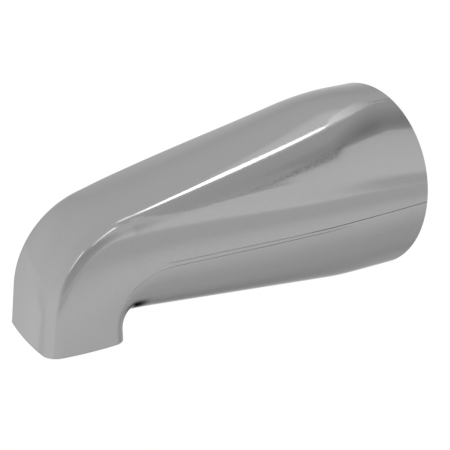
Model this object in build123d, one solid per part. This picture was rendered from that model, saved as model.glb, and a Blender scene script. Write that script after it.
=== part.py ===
from build123d import *
import os
from math import cos, exp, radians, sin, tan

# Bath spout, die cast as one hollow piece. Millimetres.
# The wall is the plane Y = 0, the spout runs out along -Y, and +Z is up. The origin is the centre of the round
# wall end. The side view is drawn flat, with x the distance out from the wall and y the height.

# Wall end: round, and level above and below for the length of a collar, before the body tapers
rim_radius = 31.75
wall_thickness = 2.5
collar = 20.6
collar_bend = 90.0
rim_break = 0.5

# Top: slopes down to a nose that bends over into the front face
spout_length = 127.0
nose_height = 6.7
nose_bend = 30.5
nose_width = 29.2
front_lean = 8.0

# Outlet: a mouth with rounded corners, a short run below the belly
outlet_drop = 26.2
outlet_reach = 21.0
outlet_back = 5.9
throat_radius = 1.5
lip_run = 2.1

# Parting line: the widest line of the body, where its sides meet the belly, turning down behind the outlet
parting_drop = 5.8
elbow_radius = 17.4

# Edges between the top and the sides: a full round at the wall, tightening towards the nose
edge_radius = 2.5
edge_fade = 63.0
edge_fade_power = 1.6
edge_inside = 0.8

# Degrees that each arc of a section turns through: at the wall, along the body and at the outlet
round_turn = 30.0
top_turn = 3.5
side_turn = 9.6
belly_turn = 45.0
outlet_back_turn = 74.5

# Boss for the supply pipe's thread, on a web that closes off the outlet's chamber
thread_radius = 10.67
thread_length = 18.0
thread_drop = 5.5
thread_lead = 1.2
boss_wall = 2.9
web_thickness = 3.0
web_setback = 10.0

# Sections along the body and round the elbow
body_steps = 12
elbow_steps = 8

# Places in the side view that follow from the sizes above
outlet_back_out = spout_length - outlet_reach
throat_out = outlet_back_out - outlet_back - throat_radius
throat = Vector(throat_out, lip_run - outlet_drop)
belly_up = throat.Y + throat_radius
front_shift = tan(radians(front_lean))
nose_corner = (spout_length - (nose_height + outlet_drop) * front_shift, nose_height)
parting_slope = parting_drop / outlet_back_out

# Outlines run on behind the wall and below the outlet, so that each section line meets them
spare = rim_radius
mouth_front = (spout_length + spare * front_shift, -outlet_drop - spare)
mouth_back = (outlet_back_out, -outlet_drop - spare)
top_line = FilletPolyline(
    (-spare, rim_radius), (collar, rim_radius), nose_corner, mouth_front, radius=[collar_bend, nose_bend]
)
belly_line = FilletPolyline(
    (-spare, -rim_radius), (collar, -rim_radius), (throat_out, belly_up), radius=collar_bend
)
parting_line = FilletPolyline(
    (-spare, spare * parting_slope), (outlet_back_out, -parting_drop), mouth_back, radius=elbow_radius
)


def blend(start, end, share):
    return start + (end - start) * share


def ahead(tilt):
    """Direction of a section line in the side view, tilted out from upright."""
    return Vector(sin(radians(tilt)), cos(radians(tilt)))


def reach(outline, base, tilt):
    """Distance from a base point to an outline, along a section line."""
    far = 2 * (spout_length + spare)
    hit = outline & Line(base, base + ahead(tilt) * far)
    return (Vector(hit.vertices()[0]) - base).length


def upper_radii(width, height, edge, top, side):
    """Radii of the side and top arcs that an edge arc joins tangentially."""
    a, b, e = 1 - cos(side), sin(top), width - edge * (cos(side) - sin(top))
    c, d, f = sin(side), 1 - cos(top), height - edge * (cos(top) - sin(side))
    det = a * d - b * c
    return (e * d - b * f) / det, (a * f - e * c) / det


def lower_radii(width, depth, turn):
    """Radii of the two tangent arcs from the parting line to the middle of the belly."""
    a, b = 1 - cos(turn), cos(turn)
    c, d = sin(turn), 1 - sin(turn)
    det = a * d - b * c
    return (width * d - b * depth) / det, (a * depth - width * c) / det


def section(base, tilt, clear, elbow_share, inset):
    """A face across the casting on a section line that starts clear below it, set in from the outside."""
    to_parting = reach(parting_line, base, tilt)
    parting = base + ahead(tilt) * to_parting
    width = blend(rim_radius, nose_width / 2, parting.X / spout_length) - inset
    height = reach(top_line, base, tilt) - to_parting - inset
    depth = to_parting - clear - inset

    fade = exp(-((parting.X / edge_fade) ** edge_fade_power))
    edge = max(blend(edge_radius, rim_radius, fade) - inset, edge_inside)
    top = blend(top_turn, round_turn, fade)
    side = blend(side_turn, round_turn, fade)
    side_radius, top_radius = upper_radii(width, height, edge, radians(top), radians(side))
    side_arc = JernArc((width, 0), (0, 1), side_radius, side)
    edge_arc = JernArc(side_arc @ 1, side_arc % 1, edge, 90 - top - side)
    top_arc = JernArc(edge_arc @ 1, edge_arc % 1, top_radius, top)

    turn = blend(belly_turn, outlet_back_turn, elbow_share)
    bilge_radius, belly_radius = lower_radii(width, depth, radians(turn))
    bilge_arc = JernArc((width, 0), (0, -1), bilge_radius, -turn)
    belly_arc = JernArc(bilge_arc @ 1, bilge_arc % 1, belly_radius, turn - 90)

    half = [side_arc, edge_arc, top_arc, bilge_arc, belly_arc]
    whole = half + [mirror(arc, about=Plane.YZ) for arc in half]
    outward = (0, -cos(radians(tilt)), -sin(radians(tilt)))
    place = Plane((0, -parting.X, parting.Y), x_dir=(1, 0, 0), z_dir=outward)
    return place * make_face(whole)


def sections(inset):
    """Sections from the wall along the body, fanned about the throat, and down to the outlet."""
    for step in range(body_steps + 1):
        out = throat_out * step / body_steps
        under = Vector(out, -spare - rim_radius)
        yield section(under, 0, reach(belly_line, under, 0), 0, inset)
    for step in range(1, elbow_steps + 1):
        turn = step / elbow_steps
        yield section(throat, 90 * turn, throat_radius, turn * turn * (3 - 2 * turn), inset)
    yield section(Vector(throat_out, -outlet_drop), 90, throat_radius, 1, inset)


def along_pipe(radius, start, end, taper=0):
    """A cylinder or cone on the pipe's axis, between two distances out from the wall."""
    base = Plane((0, -start, -thread_drop), z_dir=(0, -1, 0))
    return extrude(base * Circle(radius), end - start, taper=taper)


def spout_body():
    """The casting: a hollow body open at the wall, the threaded boss on its web, and the outlet's chamber."""
    outside = loft(list(sections(0)))
    outside &= extrude(Plane.XZ * Circle(rim_radius - rim_break), spout_length, taper=-45)
    inside = loft(list(sections(wall_thickness)))
    web_out = throat_out - web_setback
    web_front = Plane((0, -web_out, 0), z_dir=(0, -1, 0))
    chamber = split(inside, bisect_by=web_front, keep=Keep.TOP)
    hollow = split(inside, bisect_by=web_front.offset(-web_thickness), keep=Keep.BOTTOM)
    boss_mouth = web_out - thread_length
    hollow -= along_pipe(thread_radius + boss_wall, boss_mouth, web_out)
    bore = along_pipe(thread_radius, boss_mouth, web_out)
    bore += along_pipe(thread_radius + thread_lead, boss_mouth, boss_mouth + thread_lead, taper=45)
    return outside - hollow - chamber - bore


os.makedirs("parts", exist_ok=True)
export_step(spout_body(), "parts/spout_body.step")
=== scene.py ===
from math import cos, exp, pi, radians, sin, sqrt, tan

import bpy
import numpy as np
from mathutils import Matrix, Vector


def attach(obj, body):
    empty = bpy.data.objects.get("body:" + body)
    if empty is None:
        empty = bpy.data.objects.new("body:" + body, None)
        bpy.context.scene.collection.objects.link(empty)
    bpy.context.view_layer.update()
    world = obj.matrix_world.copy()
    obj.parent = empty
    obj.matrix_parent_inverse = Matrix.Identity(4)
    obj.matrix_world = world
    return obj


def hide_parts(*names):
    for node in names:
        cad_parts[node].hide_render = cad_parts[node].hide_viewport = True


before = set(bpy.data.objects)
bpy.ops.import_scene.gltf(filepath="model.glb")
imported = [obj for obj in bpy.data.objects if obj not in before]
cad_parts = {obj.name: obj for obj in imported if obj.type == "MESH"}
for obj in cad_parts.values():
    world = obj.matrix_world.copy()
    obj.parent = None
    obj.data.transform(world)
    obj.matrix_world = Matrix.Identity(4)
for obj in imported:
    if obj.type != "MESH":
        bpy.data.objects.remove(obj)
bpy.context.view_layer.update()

# Sizes of the casting in millimetres, the same as the solid's unless a comment says otherwise
MM = 0.001

# Wall end
rim_radius = 31.75
wall_thickness = 2.5
collar = 20.6
collar_bend = 90.0
rim_break = 0.5

# Top and nose
spout_length = 127.0
nose_height = 6.7
nose_bend = 30.5
nose_width = 29.2
front_lean = 8.0

# Outlet
outlet_drop = 26.2
outlet_reach = 21.0
outlet_back = 5.9
throat_radius = 1.5
lip_run = 2.1

# Parting line
parting_drop = 5.8
elbow_radius = 17.4

# Edges between the top and the sides
edge_radius = 2.5
edge_fade = 63.0
edge_fade_power = 1.6
edge_inside = 0.8

# Degrees that each arc of a section turns through. The outlet's back corners are a little rounder than the
# solid's, as the photograph has them: they turn by less than its 74.5, and corner_ease brings that in sooner
# round the elbow.
round_turn = 30.0
top_turn = 3.5
side_turn = 9.6
belly_turn = 45.0
outlet_back_turn = 68.5
corner_ease = 0.6

# Boss and web, which runs a little into the shell's wall
thread_radius = 10.67
thread_length = 18.0
thread_drop = 5.5
thread_lead = 1.2
boss_wall = 2.9
web_thickness = 3.0
web_setback = 10.0
web_overlap = 0.3

# Marks of the making, finer than the solid: two grooves along the parting strip, the softened lip and the
# pipe thread. A groove's stops have the distance out from the wall, the height over the widest line and the
# depth, and its places across are in half widths.
groove_width = 0.28
groove_places = (-1.2, -1, -0.5, 0, 0.5, 1, 1.2)
upper_groove = [
    (0, 0.1, 0.4), (15, -0.35, 0.4), (36, -0.65, 0.5), (50, -0.3, 0.18), (87, 1.2, 0.2), (91, 1.4, 0),
]
lower_groove = [
    (25, -1.5, 0), (38, -1.7, 0.3), (60, -1.1, 0.3), (87, -0.1, 0.2), (98, -0.6, 0.15), (106, -0.4, 0),
]
lip_round = 0.3
thread_pitch = 1.814
thread_depth = 1.4

# A thread's ridge falls by its slope from a peak at the middle of the pitch, and is cut flat at 1
ridge_peak = 1.25
ridge_slope = 2.9

# Steps along the arcs of a section, along the outside and the inside, and round and along the boss
belly_steps, bilge_steps, side_steps, edge_steps, top_steps = 14, 18, 14, 18, 14
outside_steps = {"body_steps": 120, "elbow_steps": 64, "lip_steps": 4}
inside_steps = {"body_steps": 60, "elbow_steps": 32, "lip_steps": 3}
lip_round_steps = 4
pipe_steps = 144
thread_rings = 150

# Painted shade in the corner behind the outlet, where the recess falls dark: its distance out, the heights
# between which it deepens, how far it spreads to either side of that distance, and the share of the metal's
# colour that it leaves
painted_shade_out = 98.3
painted_shade_top = -13.0
painted_shade_full = -16.5
painted_shade_reach = 7.0
painted_shade_dark = 0.35

# Metal: the share of its colour that it keeps at a glancing view, the grain of its colour, and its fine pits,
# in pits to the metre. Pits are where their noise passes from start to full. They are duller than the rest by
# a factor, up to a limit.
edge_tint = 0.5
grain_contrast = 0.03
grain_detail = 4.0
pit_scale = 1800.0
pit_detail = 2.0
pit_start, pit_full = 0.45, 0.7
pit_dulling = 2
dullest = 0.8

# Places in the side view that follow from the sizes above
outlet_back_out = spout_length - outlet_reach
throat_out = outlet_back_out - outlet_back - throat_radius
throat = np.array([throat_out, lip_run - outlet_drop])
belly_up = throat[1] + throat_radius
front_shift = tan(radians(front_lean))
parting_slope = parting_drop / outlet_back_out

# Outlines run on behind the wall and below the outlet, so that each section line meets them
spare = rim_radius
tiny = 1e-9


def rounded(points, radii):
    """Lines, as (start, end), and tangent arcs between them, as (centre, radius, middle, half the turn)."""
    points = [np.array(p, float) for p in points]
    parts, start = [], points[0]
    for before, corner, after, radius in zip(points, points[1:], points[2:], radii):
        back = (before - corner) / np.linalg.norm(before - corner)
        on = (after - corner) / np.linalg.norm(after - corner)
        half = 0.5 * np.arccos(back @ on)
        tangent = radius / tan(half)
        inward = (back + on) / np.linalg.norm(back + on)
        parts.append((start, corner + back * tangent))
        parts.append((corner + inward * radius / sin(half), radius, -inward, pi / 2 - half))
        start = corner + on * tangent
    parts.append((start, points[-1]))
    return parts


top_line = rounded(
    [
        (-spare, rim_radius),
        (collar, rim_radius),
        (spout_length - (nose_height + outlet_drop) * front_shift, nose_height),
        (spout_length + spare * front_shift, -outlet_drop - spare),
    ],
    [collar_bend, nose_bend],
)
belly_line = rounded([(-spare, -rim_radius), (collar, -rim_radius), (throat_out, belly_up)], [collar_bend])
parting_line = rounded(
    [
        (-spare, spare * parting_slope),
        (outlet_back_out, -parting_drop),
        (outlet_back_out, -outlet_drop - spare),
    ],
    [elbow_radius],
)


def blend(start, end, share):
    return start + (end - start) * share


def ahead(tilt):
    """Direction of a section line in the side view, tilted out from upright."""
    return np.array([sin(tilt), cos(tilt)])


def reach(outline, base, tilt):
    """Distance from a base point to an outline, along a section line."""
    line = ahead(tilt)
    across = np.array([line[1], -line[0]])
    hits = []
    for part in outline:
        if len(part) == 2:
            start, end = part
            p, q = (start - base) @ across, (end - base) @ across
            if p * q <= 0 and p != q:
                hits.append(start + (end - start) * p / (p - q))
        else:
            centre, radius, middle, half = part
            off = (centre - base) @ across
            if abs(off) <= radius:
                for sign in (-1, 1):
                    hit = centre - across * off + line * sign * sqrt(radius * radius - off * off)
                    if (hit - centre) / radius @ middle >= cos(half) - tiny:
                        hits.append(hit)
    distances = [(hit - base) @ line for hit in hits]
    return min(distance for distance in distances if distance > tiny)


def arc(start, heading, radius, turn, steps):
    """Points along an arc that turns left, or right if the turn is negative, with its end heading."""
    side = 1 if turn > 0 else -1
    centre = start + radius * side * np.array([-sin(heading), cos(heading)])
    angles = heading - side * pi / 2 + np.linspace(0, turn, steps + 1)[1:]
    points = centre + radius * np.column_stack([np.cos(angles), np.sin(angles)])
    return points, heading + turn


def groove_marks(out):
    """Heights over the widest line where a section has points for the grooves, and the depths there."""
    across = np.array(groove_places)
    heights, depths = [], []
    for groove in (lower_groove, upper_groove):
        outs, middles, deeps = zip(*groove)
        heights.append(np.interp(out, outs, middles) + across * groove_width / 2)
        depths.append(np.interp(out, outs, deeps) * np.clip(1 - np.abs(across), 0, 1))
    return np.concatenate(heights), np.concatenate(depths)


def section(base, tilt, clear, elbow_share, inset, groove):
    """Points round the casting on a section line that starts clear below it, set in from the outside.

    They run from the middle of the belly by the +X side to the top, and back by the other side. The grooves
    have a share of their depth.
    """
    to_parting = reach(parting_line, base, tilt)
    parting = base + ahead(tilt) * to_parting
    width = blend(rim_radius, nose_width / 2, parting[0] / spout_length) - inset
    height = reach(top_line, base, tilt) - to_parting - inset
    depth = to_parting - clear - inset

    fade = exp(-((max(parting[0], 0) / edge_fade) ** edge_fade_power))
    edge = max(blend(edge_radius, rim_radius, fade) - inset, edge_inside)
    top = radians(blend(top_turn, round_turn, fade))
    side = radians(blend(side_turn, round_turn, fade))
    upper = np.array([[1 - cos(side), sin(top)], [sin(side), 1 - cos(top)]])
    rest = [width - edge * (cos(side) - sin(top)), height - edge * (cos(top) - sin(side))]
    side_radius, top_radius = np.linalg.solve(upper, rest)
    turn = radians(blend(belly_turn, outlet_back_turn, elbow_share))
    lower = np.array([[1 - cos(turn), cos(turn)], [sin(turn), 1 - sin(turn)]])
    bilge_radius, belly_radius = np.linalg.solve(lower, [width, depth])

    marks, sunk = groove_marks(parting[0])
    below = np.linspace(-bilge_radius * turn, marks[0], bilge_steps + 1)[:-1]
    above = np.linspace(marks[-1], side_radius * side, side_steps + 1)[1:]
    along = np.concatenate([below, marks, above])
    radius = np.where(along > 0, side_radius, bilge_radius)
    flank = np.column_stack([width - radius * (1 - np.cos(along / radius)), radius * np.sin(along / radius)])
    flank[len(below) : len(below) + len(marks), 0] -= groove * sunk
    edge_arc, heading = arc(flank[-1], pi / 2 + side, edge, pi / 2 - top - side, edge_steps)
    top_arc, _ = arc(edge_arc[-1], heading, top_radius, top, top_steps)
    belly_arc, _ = arc(flank[0], -pi / 2 - turn, belly_radius, turn - pi / 2, belly_steps)
    right = np.vstack([belly_arc[::-1], flank, edge_arc, top_arc])
    flat = np.vstack([right, right[-2:0:-1] * [-1, 1]])
    out, high = ahead(tilt)
    return np.column_stack([flat[:, 0], -(parting[0] + flat[:, 1] * out), parting[1] + flat[:, 1] * high])


def body_section(out, inset, groove=0.0):
    """A section straight across the body, at a distance out from the wall."""
    under = np.array([out, -spare - rim_radius])
    return section(under, 0.0, reach(belly_line, under, 0.0), 0.0, inset, groove)


def sections(inset, body_steps, elbow_steps, lip_steps, start=0.0, groove=0.0):
    """Rings of points from the wall along the body, fanned about the throat, and down to the outlet."""
    rings = [body_section(out, inset, groove) for out in np.linspace(start, throat_out, body_steps + 1)]
    for share in np.linspace(0, 1, elbow_steps + 1)[1:]:
        eased = (share * share * (3 - 2 * share)) ** corner_ease
        rings.append(section(throat, pi / 2 * share, throat_radius, eased, inset, groove * (1 - share)))
    for drop in np.linspace(throat[1], -outlet_drop, lip_steps + 1)[1:]:
        rings.append(section(np.array([throat_out, drop]), pi / 2, throat_radius, 1.0, inset, 0.0))
    return rings


def pulled(ring, amount):
    """A ring drawn in by a distance towards its own middle, in its own plane."""
    middle = (ring.max(axis=0) + ring.min(axis=0)) / 2
    along = np.roll(ring, -1, axis=0) - np.roll(ring, 1, axis=0)
    face = np.cross(ring - middle, along).sum(axis=0)
    inward = np.cross(face / np.linalg.norm(face), along)
    return ring + inward / np.linalg.norm(inward, axis=1)[:, None] * amount


def band(rings):
    """Points and quads of a band that joins rings of equal length in order."""
    count = len(rings[0])
    row = np.arange(count)
    faces = []
    for k in range(len(rings) - 1):
        a, b = k * count + row, k * count + np.roll(row, -1)
        faces.append(np.column_stack([a, b, b + count, a + count]))
    return np.vstack(rings), np.vstack(faces)


def placed(name, data):
    """A new object in the scene."""
    thing = bpy.data.objects.new(name, data)
    bpy.context.scene.collection.objects.link(thing)
    return thing


def add_mesh(name, bands):
    """A smooth-shaded object of bands, each with a material, points and quads, with sharp edges between."""
    points, faces, materials, worn, total = [], [], [], [], 0
    for material, (band_points, band_faces) in bands:
        points.append(band_points)
        faces.append(band_faces + total)
        total += len(band_points)
        if material not in materials:
            materials.append(material)
        worn += [materials.index(material)] * len(band_faces)
    mesh = bpy.data.meshes.new(name)
    mesh.from_pydata((np.vstack(points) * MM).tolist(), [], np.vstack(faces).tolist())
    for material in materials:
        mesh.materials.append(material)
    mesh.polygons.foreach_set("material_index", worn)
    mesh.polygons.foreach_set("use_smooth", [True] * len(mesh.polygons))
    mesh.update()
    return placed(name, mesh)


def nodes_of(material):
    material.use_nodes = True
    return material.node_tree.nodes, material.node_tree.links


def bare_material(name):
    """A material with nothing but its output, and its nodes and links."""
    material = bpy.data.materials.new(name)
    nodes, links = nodes_of(material)
    nodes.remove(nodes["Principled BSDF"])
    return material, nodes, links


def map_range(nodes, links, value, start, end, low=0.0, high=1.0):
    """A smooth step of a value, from low at its start to high at its end."""
    node = nodes.new("ShaderNodeMapRange")
    node.interpolation_type = "SMOOTHSTEP"
    node.inputs["From Min"].default_value = start
    node.inputs["From Max"].default_value = end
    node.inputs["To Min"].default_value = low
    node.inputs["To Max"].default_value = high
    links.new(value, node.inputs["Value"])
    return node.outputs["Result"]


def combine(nodes, links, operation, first, second):
    """Two values in one sum, product or the like; the second may be a plain number."""
    node = nodes.new("ShaderNodeMath")
    node.operation = operation
    links.new(first, node.inputs[0])
    if isinstance(second, float):
        node.inputs[1].default_value = second
    else:
        links.new(second, node.inputs[1])
    return node.outputs["Value"]


def ramp(nodes, links, value, stops):
    """A value that runs straight from stop to stop, each with a place and a level."""
    first, last = stops[0][0], stops[-1][0]
    peak = max(level for _, level in stops)
    node = nodes.new("ShaderNodeValToRGB")
    share = nodes.new("ShaderNodeMapRange")
    share.inputs["From Min"].default_value = first
    share.inputs["From Max"].default_value = last
    links.new(value, share.inputs["Value"])
    links.new(share.outputs["Result"], node.inputs["Fac"])
    while len(node.color_ramp.elements) < len(stops):
        node.color_ramp.elements.new(0.5)
    for element, (where, level) in zip(node.color_ramp.elements, stops):
        element.position = (where - first) / (last - first)
        element.color = (level / peak, level / peak, level / peak, 1)
    return combine(nodes, links, "MULTIPLY", node.outputs["Color"], peak)


def noise(nodes, links, vector, scale, detail):
    node = nodes.new("ShaderNodeTexNoise")
    node.inputs["Scale"].default_value = scale
    node.inputs["Detail"].default_value = detail
    links.new(vector, node.inputs["Vector"])
    return node.outputs["Fac"]


def measured(nodes, links, operation, vector, output):
    """The length of a vector, or its direction."""
    node = nodes.new("ShaderNodeVectorMath")
    node.operation = operation
    links.new(vector, node.inputs[0])
    return node.outputs[output]


def facing(nodes, links, vector, azimuth, elevation):
    """How far a vector goes in a direction, which is given in degrees round from +X and up."""
    node = nodes.new("ShaderNodeVectorMath")
    node.operation = "DOT_PRODUCT"
    links.new(vector, node.inputs[0])
    flat = cos(radians(elevation))
    node.inputs[1].default_value = (
        flat * cos(radians(azimuth)), flat * sin(radians(azimuth)), sin(radians(elevation))
    )
    return node.outputs["Value"]


def soft_disc(nodes, links, heading, azimuth, elevation, end, full, level=1.0):
    """A level round a direction, which is nothing at its end angle and whole at its full angle."""
    angle = facing(nodes, links, heading, azimuth, elevation)
    return map_range(nodes, links, angle, cos(radians(end)), cos(radians(full)), 0.0, level)


def throat_painted_shade(nodes, links, place):
    """Share of the metal's colour that is left, less in the corner behind the outlet, where shade is painted
    in.
    """
    low = map_range(nodes, links, facing(nodes, links, place, 0, 90), painted_shade_top * MM, painted_shade_full * MM)
    away = combine(nodes, links, "ADD", facing(nodes, links, place, 90, 0), painted_shade_out * MM)
    away = combine(nodes, links, "ABSOLUTE", away, 0.0)
    near = map_range(nodes, links, away, painted_shade_reach * MM, 0.0)
    depth = combine(nodes, links, "MULTIPLY", low, near)
    return map_range(nodes, links, depth, 0.0, 1.0, 1.0, painted_shade_dark)


def metal(name, grey, rough, grain):
    """Metal with a faint grain in its colour, fine pits in its polish, and shade painted into the corner
    behind the outlet.
    """
    material = bpy.data.materials.new(name)
    nodes, links = nodes_of(material)
    shader = nodes["Principled BSDF"]
    shader.inputs["Metallic"].default_value = 1.0
    place = nodes.new("ShaderNodeTexCoord").outputs["Object"]
    colour = nodes.new("ShaderNodeMapRange")
    colour.inputs["To Min"].default_value = grey * (1 - grain_contrast)
    colour.inputs["To Max"].default_value = grey * (1 + grain_contrast)
    links.new(noise(nodes, links, place, grain, grain_detail), colour.inputs["Value"])
    # Painted shade: the colour and its glancing tint are darkened in the corner behind the outlet
    shade_share = throat_painted_shade(nodes, links, place)
    links.new(combine(nodes, links, "MULTIPLY", colour.outputs["Result"], shade_share), shader.inputs["Base Color"])
    links.new(combine(nodes, links, "MULTIPLY", shade_share, edge_tint), shader.inputs["Specular Tint"])
    pits = noise(nodes, links, place, pit_scale, pit_detail)
    dull = map_range(nodes, links, pits, pit_start, pit_full, rough, min(pit_dulling * rough, dullest))
    links.new(dull, shader.inputs["Roughness"])
    return material


# Plated outside and cast inside
chrome = metal("chrome", grey=0.42, rough=0.08, grain=900.0)
cast = metal("cast_inside", grey=0.55, rough=0.5, grain=500.0)

# Shell: the outside with its softened lip, the flat end of the outlet, the inside, and the flat ring at the
# wall with its broken edge
outer = sections(0.0, **outside_steps, start=rim_break, groove=1.0)
inner = sections(wall_thickness, **inside_steps)
wall_edge = pulled(body_section(0.0, 0.0), rim_break)
lip = []
for turn in np.linspace(0, pi / 2, lip_round_steps + 1):
    ring = pulled(outer[-1], lip_round * (1 - cos(turn)))
    lip.append(ring + [0, 0, lip_round * (1 - sin(turn))])
shell = add_mesh(
    "spout_shell",
    [
        (chrome, band(outer[:-1] + lip)),
        (chrome, band([lip[-1], inner[-1]])),
        (cast, band(inner[::-1])),
        (chrome, band([inner[0], wall_edge])),
        (chrome, band([wall_edge, outer[0]])),
    ],
)

# Boss and web: rings about the pipe's axis, with the thread standing in the bore
around = np.linspace(0, 2 * pi, pipe_steps + 1)[:-1]
web_out = throat_out - web_setback
web_near = web_out - web_thickness
boss_mouth = web_out - thread_length
boss_radius = thread_radius + boss_wall
lead_radius = thread_radius + thread_lead
thread_start = boss_mouth + thread_lead


def pipe_ring(radius, out):
    """A ring about the pipe's axis, with one radius or one for each point, at a distance out."""
    radius = np.broadcast_to(radius, around.shape)
    return np.column_stack(
        [radius * np.sin(around), np.full(len(around), -out), radius * np.cos(around) - thread_drop]
    )


def web_ring(out):
    """The edge of the web, a little into the shell's wall."""
    edge = body_section(out, wall_thickness)[:, [0, 2]] + [0, thread_drop]
    angle = np.arctan2(edge[:, 0], edge[:, 1])
    size = np.hypot(edge[:, 0], edge[:, 1]) + web_overlap
    return pipe_ring(np.interp(around, angle, size, period=2 * pi), out)


thread = []
for out in np.linspace(thread_start, web_out, thread_rings):
    phase = ((web_out - out) / thread_pitch - around / (2 * pi)) % 1
    ridge = np.clip(ridge_peak - np.abs(phase - 0.5) * ridge_slope, 0, 1)
    ease = min(1.0, (out - thread_start) / thread_pitch, (web_out - out) / thread_pitch)
    thread.append(pipe_ring(thread_radius - thread_depth * ridge * max(ease, 0), out))
boss_bands = [
    [web_ring(web_near), pipe_ring(boss_radius, web_near)],
    [pipe_ring(boss_radius, web_near), pipe_ring(boss_radius, boss_mouth)],
    [pipe_ring(boss_radius, boss_mouth), pipe_ring(lead_radius, boss_mouth)],
    [pipe_ring(lead_radius, boss_mouth), thread[0]],
    thread,
    [thread[-1], web_ring(web_out)],
]
boss = add_mesh("thread_boss", [(cast, band(rings)) for rings in boss_bands])

for piece in (shell, boss):
    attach(piece, "root")
    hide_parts("spout_body")

# Floor: pale paper well below the spout. Further out it is white, for the camera and the metal's reflection
# only. A sector of white has the direction of its middle and the angles from there at which it ends and is
# full. The left one is full away from its direction. The right one rises and then fades with the distance.
floor_drop = 0.5
floor_size = 20.0
floor_middle = -0.06
paper_grey = 0.8
white_start, white_full = 0.25, 0.5
left_sector = (22, 0, 55, 86)
right_sector = (-10, 0, 60, 35)
right_start, right_full = 0.1, 1.2
right_fade, right_faded = 1.2, 2.9
right_white, right_left_over = 0.72, 0.2
floor_mesh = bpy.data.meshes.new("floor")
corners = [(x * floor_size, y * floor_size, 0) for x, y in ((-1, -1), (1, -1), (1, 1), (-1, 1))]
floor_mesh.from_pydata(corners, [], [(0, 1, 2, 3)])
floor = placed("floor", floor_mesh)
floor.location = (0, floor_middle, -floor_drop)
paper, nodes, links = bare_material("paper")
place = nodes.new("ShaderNodeTexCoord").outputs["Object"]
span = measured(nodes, links, "LENGTH", place, "Value")
heading = measured(nodes, links, "NORMALIZE", place, "Vector")
rising = map_range(nodes, links, span, right_start, right_full)
fading = map_range(nodes, links, span, right_fade, right_faded, right_white, right_left_over)
white = soft_disc(nodes, links, heading, *right_sector)
white = combine(nodes, links, "MULTIPLY", white, fading)
white = combine(nodes, links, "MULTIPLY", white, rising)
white = combine(nodes, links, "MAXIMUM", soft_disc(nodes, links, heading, *left_sector), white)
white = combine(nodes, links, "MULTIPLY", white, map_range(nodes, links, span, white_start, white_full))
rays = nodes.new("ShaderNodeLightPath").outputs
seen = combine(nodes, links, "MAXIMUM", rays["Is Camera Ray"], rays["Is Glossy Ray"])
seen = combine(nodes, links, "MAXIMUM", seen, rays["Is Transmission Ray"])
white = combine(nodes, links, "MULTIPLY", white, seen)
matt = nodes.new("ShaderNodeBsdfDiffuse")
matt.inputs["Color"].default_value = (paper_grey, paper_grey, paper_grey, 1)
glow = nodes.new("ShaderNodeEmission")
glow.inputs["Color"].default_value = (1, 1, 1, 1)
glow.inputs["Strength"].default_value = 1.0
mix = nodes.new("ShaderNodeMixShader")
links.new(white, mix.inputs["Fac"])
links.new(matt.outputs["BSDF"], mix.inputs[1])
links.new(glow.outputs["Emission"], mix.inputs[2])
links.new(mix.outputs["Shader"], nodes["Material Output"].inputs["Surface"])
floor_mesh.materials.append(paper)

# Studio that the metal shows: a sky, with levels at sines of the height, and soft round cards on it. A card
# has the direction of its middle, the angles from there at which it ends and is full, and what it adds.
sky = [(0.0, 0.98), (0.5, 0.88), (0.87, 0.81)]
cards = {
    "paper_behind": (150, -20, 50, 25, 0.4),
    "dark_right": (-26, 14, 38, 14, -0.34),
    "panel_right": (35, 30, 25, 10, 0.05),
    "dark_low": (29, 4, 8, 3, -0.24),
    "glow_behind": (118, 64, 12, 2, 0.2),
    "glow_left": (-168, 2, 26, 5, 0.08),
}
world = bpy.data.worlds.new("studio")
bpy.context.scene.world = world
world.use_nodes = True
nodes, links = world.node_tree.nodes, world.node_tree.links
place = nodes.new("ShaderNodeTexCoord").outputs["Generated"]
total = ramp(nodes, links, facing(nodes, links, place, 0, 90), sky)
for card in cards.values():
    total = combine(nodes, links, "ADD", total, soft_disc(nodes, links, place, *card))
links.new(total, nodes["Background"].inputs["Color"])
nodes["Background"].inputs["Strength"].default_value = 1.0


def flat_card(name, height, outline):
    """A flat card that the camera does not see, level unless its outline has heights too. Gives its nodes."""
    mesh = bpy.data.meshes.new(name)
    mesh.from_pydata([(*corner, 0)[:3] for corner in outline], [], [range(len(outline))])
    card = placed(name, mesh)
    card.location = (0, 0, height)
    card.visible_camera = False
    material, nodes, links = bare_material(name)
    mesh.materials.append(material)
    return nodes, links


def lit(name, height, outline, levels, azimuth=90, elevation=0):
    """A card that shines with levels along a direction, which is Y unless another is given."""
    nodes, links = flat_card(name, height, outline)
    place = nodes.new("ShaderNodeTexCoord").outputs["Object"]
    light = nodes.new("ShaderNodeEmission")
    along = facing(nodes, links, place, azimuth, elevation)
    links.new(ramp(nodes, links, along, levels), light.inputs["Strength"])
    links.new(light.outputs["Emission"], nodes["Material Output"].inputs["Surface"])


# Heights of the cards overhead: the strip and the flag's rim hang a little lower, clear of the flag
ceiling = 0.7
rim_height = 0.695
strip_height = 0.69

# Strip: a long bright card above the edge, with a dim tail towards the wall
lit(
    "strip",
    strip_height,
    [
        (0.11, -0.1), (0.055, 0.0), (0.03, 0.2), (0.01, 0.24), (-0.04, 0.36), (-0.26, 0.6), (-0.34, 0.54),
        (-0.12, 0.28), (0.0, 0.23), (-0.08, 0.1), (-0.04, 0.0), (0.03, -0.1),
    ],
    [(-0.1, 1.2), (0.0, 3.6), (0.22, 3.6), (0.25, 1.45), (0.36, 1.2), (0.6, 0.8)],
)

# Two narrow cards in front, which glint along the nose's edge
lit(
    "front_high",
    ceiling,
    [(0.32, -0.14), (0.42, -0.12), (0.75, -0.48), (0.68, -0.52)],
    [(-0.52, 1.4), (-0.12, 2.2)],
)
lit(
    "front_low",
    ceiling,
    [(0.46, -0.68), (0.58, -0.68), (1.1, -1.5), (0.95, -1.55)],
    [(-1.55, 1.2), (-0.68, 1.8)],
)

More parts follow.
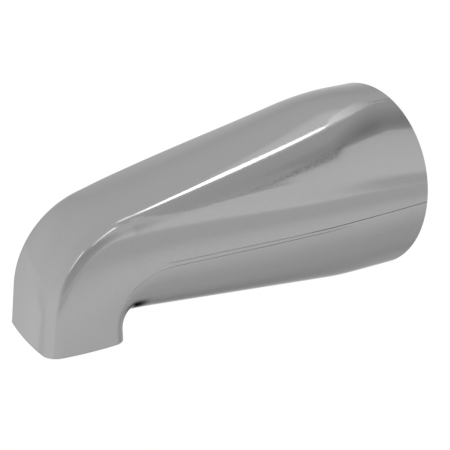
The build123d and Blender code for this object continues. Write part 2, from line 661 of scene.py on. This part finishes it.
# A standing card on the left, which keeps the nose's far edge bright
lit(
    "left",
    0.0,
    [(-0.85, -0.78, -0.49), (-0.85, -0.19, -0.49), (-0.85, -0.19, 0.02), (-0.85, -0.78, 0.0)],
    [(-0.52, 1.04), (-0.27, 1.16), (0.0, 1.38), (0.15, 1.5)],
    elevation=-45,
)

# Flag: a grey card overhead on the right, with a dark oval patch from which its shade grows paler
flag_outline = [
    (0.15, -0.1), (0.45, -0.06), (1.9, 0.33), (1.9, 0.7), (1.2, 0.445), (0.58, 0.36), (0.2, 0.62),
    (-0.6, 0.88), (-0.3, 0.6), (0.03, 0.3),
]
flag_shade = [(0.1, 0.5), (1.0, 0.92), (3.0, 1.0)]
patch_middle = (0.26, 0.43, 0)
patch_size = (0.45, 0.17, 1)
patch_turn = -22
nodes, links = flat_card("flag", ceiling, flag_outline)
patch = nodes.new("ShaderNodeMapping")
patch.vector_type = "TEXTURE"
patch.inputs["Location"].default_value = patch_middle
patch.inputs["Rotation"].default_value = (0, 0, radians(patch_turn))
patch.inputs["Scale"].default_value = patch_size
links.new(nodes.new("ShaderNodeTexCoord").outputs["Object"], patch.inputs["Vector"])
span = measured(nodes, links, "LENGTH", patch.outputs["Vector"], "Value")
matt = nodes.new("ShaderNodeBsdfDiffuse")
links.new(ramp(nodes, links, span, flag_shade), matt.inputs["Color"])
links.new(matt.outputs["BSDF"], nodes["Material Output"].inputs["Surface"])

# A darker rim along the flag's far edge, which draws a line along the side
lit(
    "flag_rim",
    rim_height,
    [
        (0.42, 0.34), (0.5, 0.31), (0.6, 0.315), (0.88, 0.355), (1.2, 0.39), (1.6, 0.44), (1.6, 0.5),
        (1.2, 0.445), (0.9, 0.4), (0.6, 0.35), (0.5, 0.35),
    ],
    [(0.42, 0.4), (0.65, 0.4), (1.0, 0.46), (1.3, 0.52), (1.6, 0.65)],
    azimuth=0,
)

# Camera: the photograph's own viewpoint, with its focal length in pixels
azimuth, elevation, distance = radians(56.79), radians(22.91), 0.2955
focal = 924.5
image_width = 450
target = Vector((0, -0.05755, -0.00605))
back = Vector((sin(azimuth) * cos(elevation), -cos(azimuth) * cos(elevation), sin(elevation)))
right = Vector((cos(azimuth), sin(azimuth), 0))
up = back.cross(right)
camera = placed("camera", bpy.data.cameras.new("camera"))
camera.data.sensor_width = 36.0
camera.data.lens = focal / image_width * camera.data.sensor_width
camera.data.clip_start, camera.data.clip_end = 0.01, 100
facing_photo = Matrix((right, up, back)).transposed().to_4x4()
camera.matrix_world = Matrix.Translation(target + back * distance) @ facing_photo
bpy.context.scene.camera = camera
bpy.context.scene.view_settings.view_transform = "Standard"
